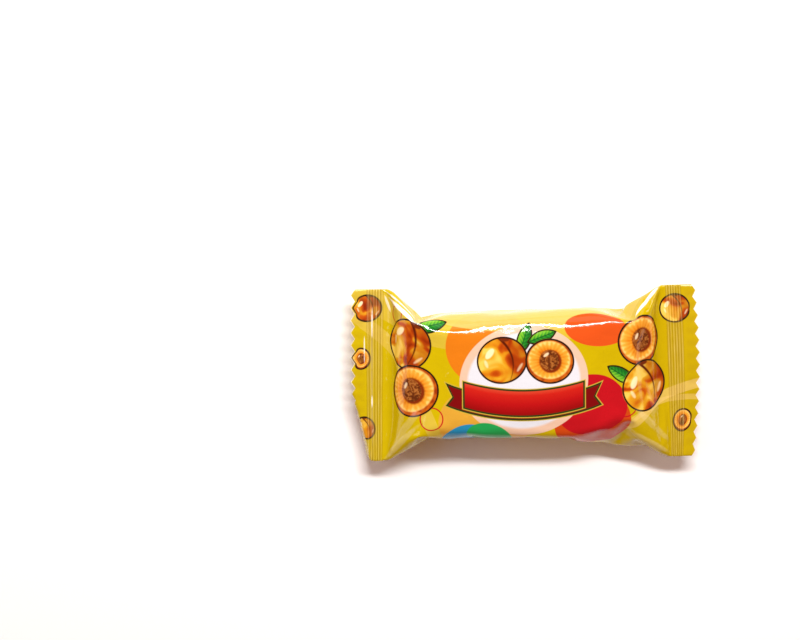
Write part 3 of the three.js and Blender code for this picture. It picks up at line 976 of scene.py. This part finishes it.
class StudioSettings(bpy.types.PropertyGroup):
    """Light, floor and camera."""

    floor_colour: colour_property("Floor", "Colour of the studio floor", (0.96, 0.96, 0.96, 1))
    sky_colour: colour_property("Sky colour", "Colour of the even light", (1.0, 0.47, 0.32, 1))
    sky: number_property("Sky", "Strength of the even light", 0.26)
    power: number_property("Power", "Power of all softboxes together", 7.3, unit="POWER")
    lens: number_property("Lens", "Focal length in millimetres", 110.0, 20)
    tilt: bpy.props.FloatProperty(name="Tilt", description="How far the view leans off the printed face",
                                  default=math.radians(8), subtype="ANGLE", unit="ROTATION")


# ---- operators --------------------------------------------------------------------------------------
SHARP = math.radians(50)  # edges bent by more than this stay sharp


class MESH_OT_sweet_film(bpy.types.Operator):
    """Make the creased film pack with its crimped and toothed end seals"""

    bl_idname = "mesh.sweet_film"
    bl_label = "Add film pack"

    def execute(self, context):
        sizes = context.scene.sweet_sizes
        around = np.linspace(-2 * HALF_ROUND, 2 * HALF_ROUND, COLUMNS + 1)
        points, along = film_grid(sizes, around, MIDDLE_ROWS, SEAL_ROWS)
        points = ridged(points, along, around)
        points[:, -1] = points[:, 0]
        piece = new_grid("film", points)
        lay_flat(piece, flat_places(along, around))
        close_tube(piece, len(along))
        select_none()
        piece.select_set(True)
        bpy.ops.object.shade_smooth_by_angle(angle=SHARP)
        piece.data.materials.append(film_material(context.scene.sweet_inks, sizes))
        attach(piece, "root")
        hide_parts("film_pack")
        return {"FINISHED"}


class MESH_OT_sweet_seam(bpy.types.Operator):
    """Make the folded back seam, a crimped strip of plain film"""

    bl_idname = "mesh.sweet_seam"
    bl_label = "Add back seam"

    def execute(self, context):
        sizes = context.scene.sweet_sizes
        piece = new_grid("back_seam", seam_grid(sizes))
        thick = piece.modifiers.new("thickness", "SOLIDIFY")
        thick.thickness, thick.offset = sizes.seam_layers, 0
        bpy.ops.object.modifier_apply(modifier=thick.name)
        bpy.ops.object.shade_smooth_by_angle(angle=SHARP)
        piece.data.materials.append(seam_material(context.scene.sweet_inks))
        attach(piece, "root")
        return {"FINISHED"}


# name, share of the power, sizes, degrees from +Y towards +X, degrees off the vertical, distance
LIGHTS = (
    ("long_softbox", 0.44, (0.26, 0.055), 10, 31, 0.55),
    ("far_softbox", 0.1, (0.8, 0.3), 0, 64, 0.65),
    ("left_back_softbox", 0.06, (0.24, 0.14), -42, 70, 0.6),
    ("left_softbox", 0.08, (0.3, 0.3), -75, 40, 0.6),
    ("right_softbox", 0.06, (0.18, 0.12), 60, 62, 0.6),
)


def area_light(name, power, size, away, target):
    """A soft rectangular light at a place, facing another."""
    light = bpy.data.lights.new(name, "AREA")
    light.shape, light.size, light.size_y = "RECTANGLE", *size
    light.energy = power
    holder = bpy.data.objects.new(name, light)
    bpy.context.scene.collection.objects.link(holder)
    holder.location = away
    holder.rotation_euler = (Vector(target) - Vector(away)).to_track_quat("-Z", "Y").to_euler()


class SCENE_OT_sweet_studio(bpy.types.Operator):
    """Make the pale floor, the soft light and the camera"""

    bl_idname = "scene.sweet_studio"
    bl_label = "Add studio"

    def execute(self, context):
        scene, studio = context.scene, context.scene.sweet_studio
        select_none()
        bpy.ops.mesh.primitive_plane_add(size=1.4)
        floor = context.object
        floor.name = "floor"
        paper, net, shader = new_material("pale paper")
        grain = net.noise(net.add("TexCoord", output="Object"), 900.0, 2.0)
        shade = net.scaled(grain, 0.02, 0.99)
        net.put(shader["Base Color"], net.blend(1.0, studio.floor_colour, shade, "MULTIPLY"))
        shader["Roughness"].default_value = 0.7
        floor.data.materials.append(paper)

        world = bpy.data.worlds.new("studio")
        scene.world = world
        world.use_nodes = True
        even = world.node_tree.nodes["Background"]
        net = Net(world.node_tree)
        seen = net.add("LightPath")  # the camera sees a pale wall past the floor
        net.put(even.inputs["Color"], net.blend(seen, studio.sky_colour, studio.floor_colour))
        net.put(even.inputs["Strength"], net.scaled(seen, 1.0 - studio.sky, studio.sky))
        for name, share, size, turn, lean, away in LIGHTS:
            turn, lean = math.radians(turn), math.radians(lean)
            place = (math.sin(turn) * math.sin(lean), math.cos(turn) * math.sin(lean), math.cos(lean))
            area_light(name, studio.power * share, size, Vector(place) * away, (0, 0, PACK_MIDDLE))

        camera = bpy.data.cameras.new("camera")
        holder = bpy.data.objects.new("camera", camera)
        scene.collection.objects.link(holder)
        scene.camera = holder
        camera.lens, camera.sensor_width = studio.lens, SENSOR_WIDTH
        camera.clip_start, camera.clip_end = 0.01, 20
        place_camera(holder, studio)
        scene.view_settings.view_transform = "Standard"
        scene.view_settings.look = "None"
        return {"FINISHED"}


SENSOR_WIDTH = 36.0
PHOTO_WIDTH, PIXEL = 800, 0.2292 * MM  # the photo in pixels, and a pixel's size on the pack
PHOTO_MIDDLE, PACK_MIDDLE = (-125.5, 53.0), 8 * MM  # in pixels from the pack's middle; its height
ROLL = math.radians(-0.9)  # the pack leans by this in the photo


def place_camera(holder, studio):
    """Looks down on the pack so that it falls on the same part of the picture as in the photo."""
    back = Vector((0, math.sin(studio.tilt), math.cos(studio.tilt)))
    right = Vector((1, 0, 0))
    up = back.cross(right)
    distance = PHOTO_WIDTH * PIXEL * studio.lens / SENSOR_WIDTH
    turn = Matrix((right, up, back)).transposed() @ Matrix.Rotation(ROLL, 3, "Z")
    aim = Vector((0, 0, PACK_MIDDLE)) + turn @ (Vector((*PHOTO_MIDDLE, 0)) * PIXEL)
    holder.matrix_world = Matrix.Translation(aim + back * distance) @ turn.to_4x4()


class VIEW3D_PT_sweet(bpy.types.Panel):
    """Lists the pieces and their settings"""

    bl_label = "Flow-wrapped sweet"
    bl_space_type = "VIEW_3D"
    bl_region_type = "UI"
    bl_category = "Sweet"

    def draw(self, context):
        layout = self.layout
        for group in SETTINGS:
            box = layout.box()
            settings = getattr(context.scene, group)
            for name in settings.bl_rna.properties.keys():
                if name not in ("rna_type", "name"):
                    box.prop(settings, name)
        for operator in STEPS:
            layout.operator(operator)


SETTINGS = {"sweet_sizes": SweetSizes, "sweet_inks": SweetInks, "sweet_studio": StudioSettings}
STEPS = ("scene.sweet_studio", "mesh.sweet_film", "mesh.sweet_seam")
CLASSES = (SweetSizes, SweetInks, StudioSettings, MESH_OT_sweet_film, MESH_OT_sweet_seam,
           SCENE_OT_sweet_studio, VIEW3D_PT_sweet)


def register():
    for kind in CLASSES:
        bpy.utils.register_class(kind)
    for name, kind in SETTINGS.items():
        setattr(bpy.types.Scene, name, bpy.props.PointerProperty(type=kind))


def unregister():
    for name in SETTINGS:
        delattr(bpy.types.Scene, name)
    for kind in reversed(CLASSES):
        bpy.utils.unregister_class(kind)


def main():
    register()
    bpy.ops.scene.sweet_studio()
    bpy.ops.mesh.sweet_film()
    bpy.ops.mesh.sweet_seam()


if __name__ == "__main__":
    main()
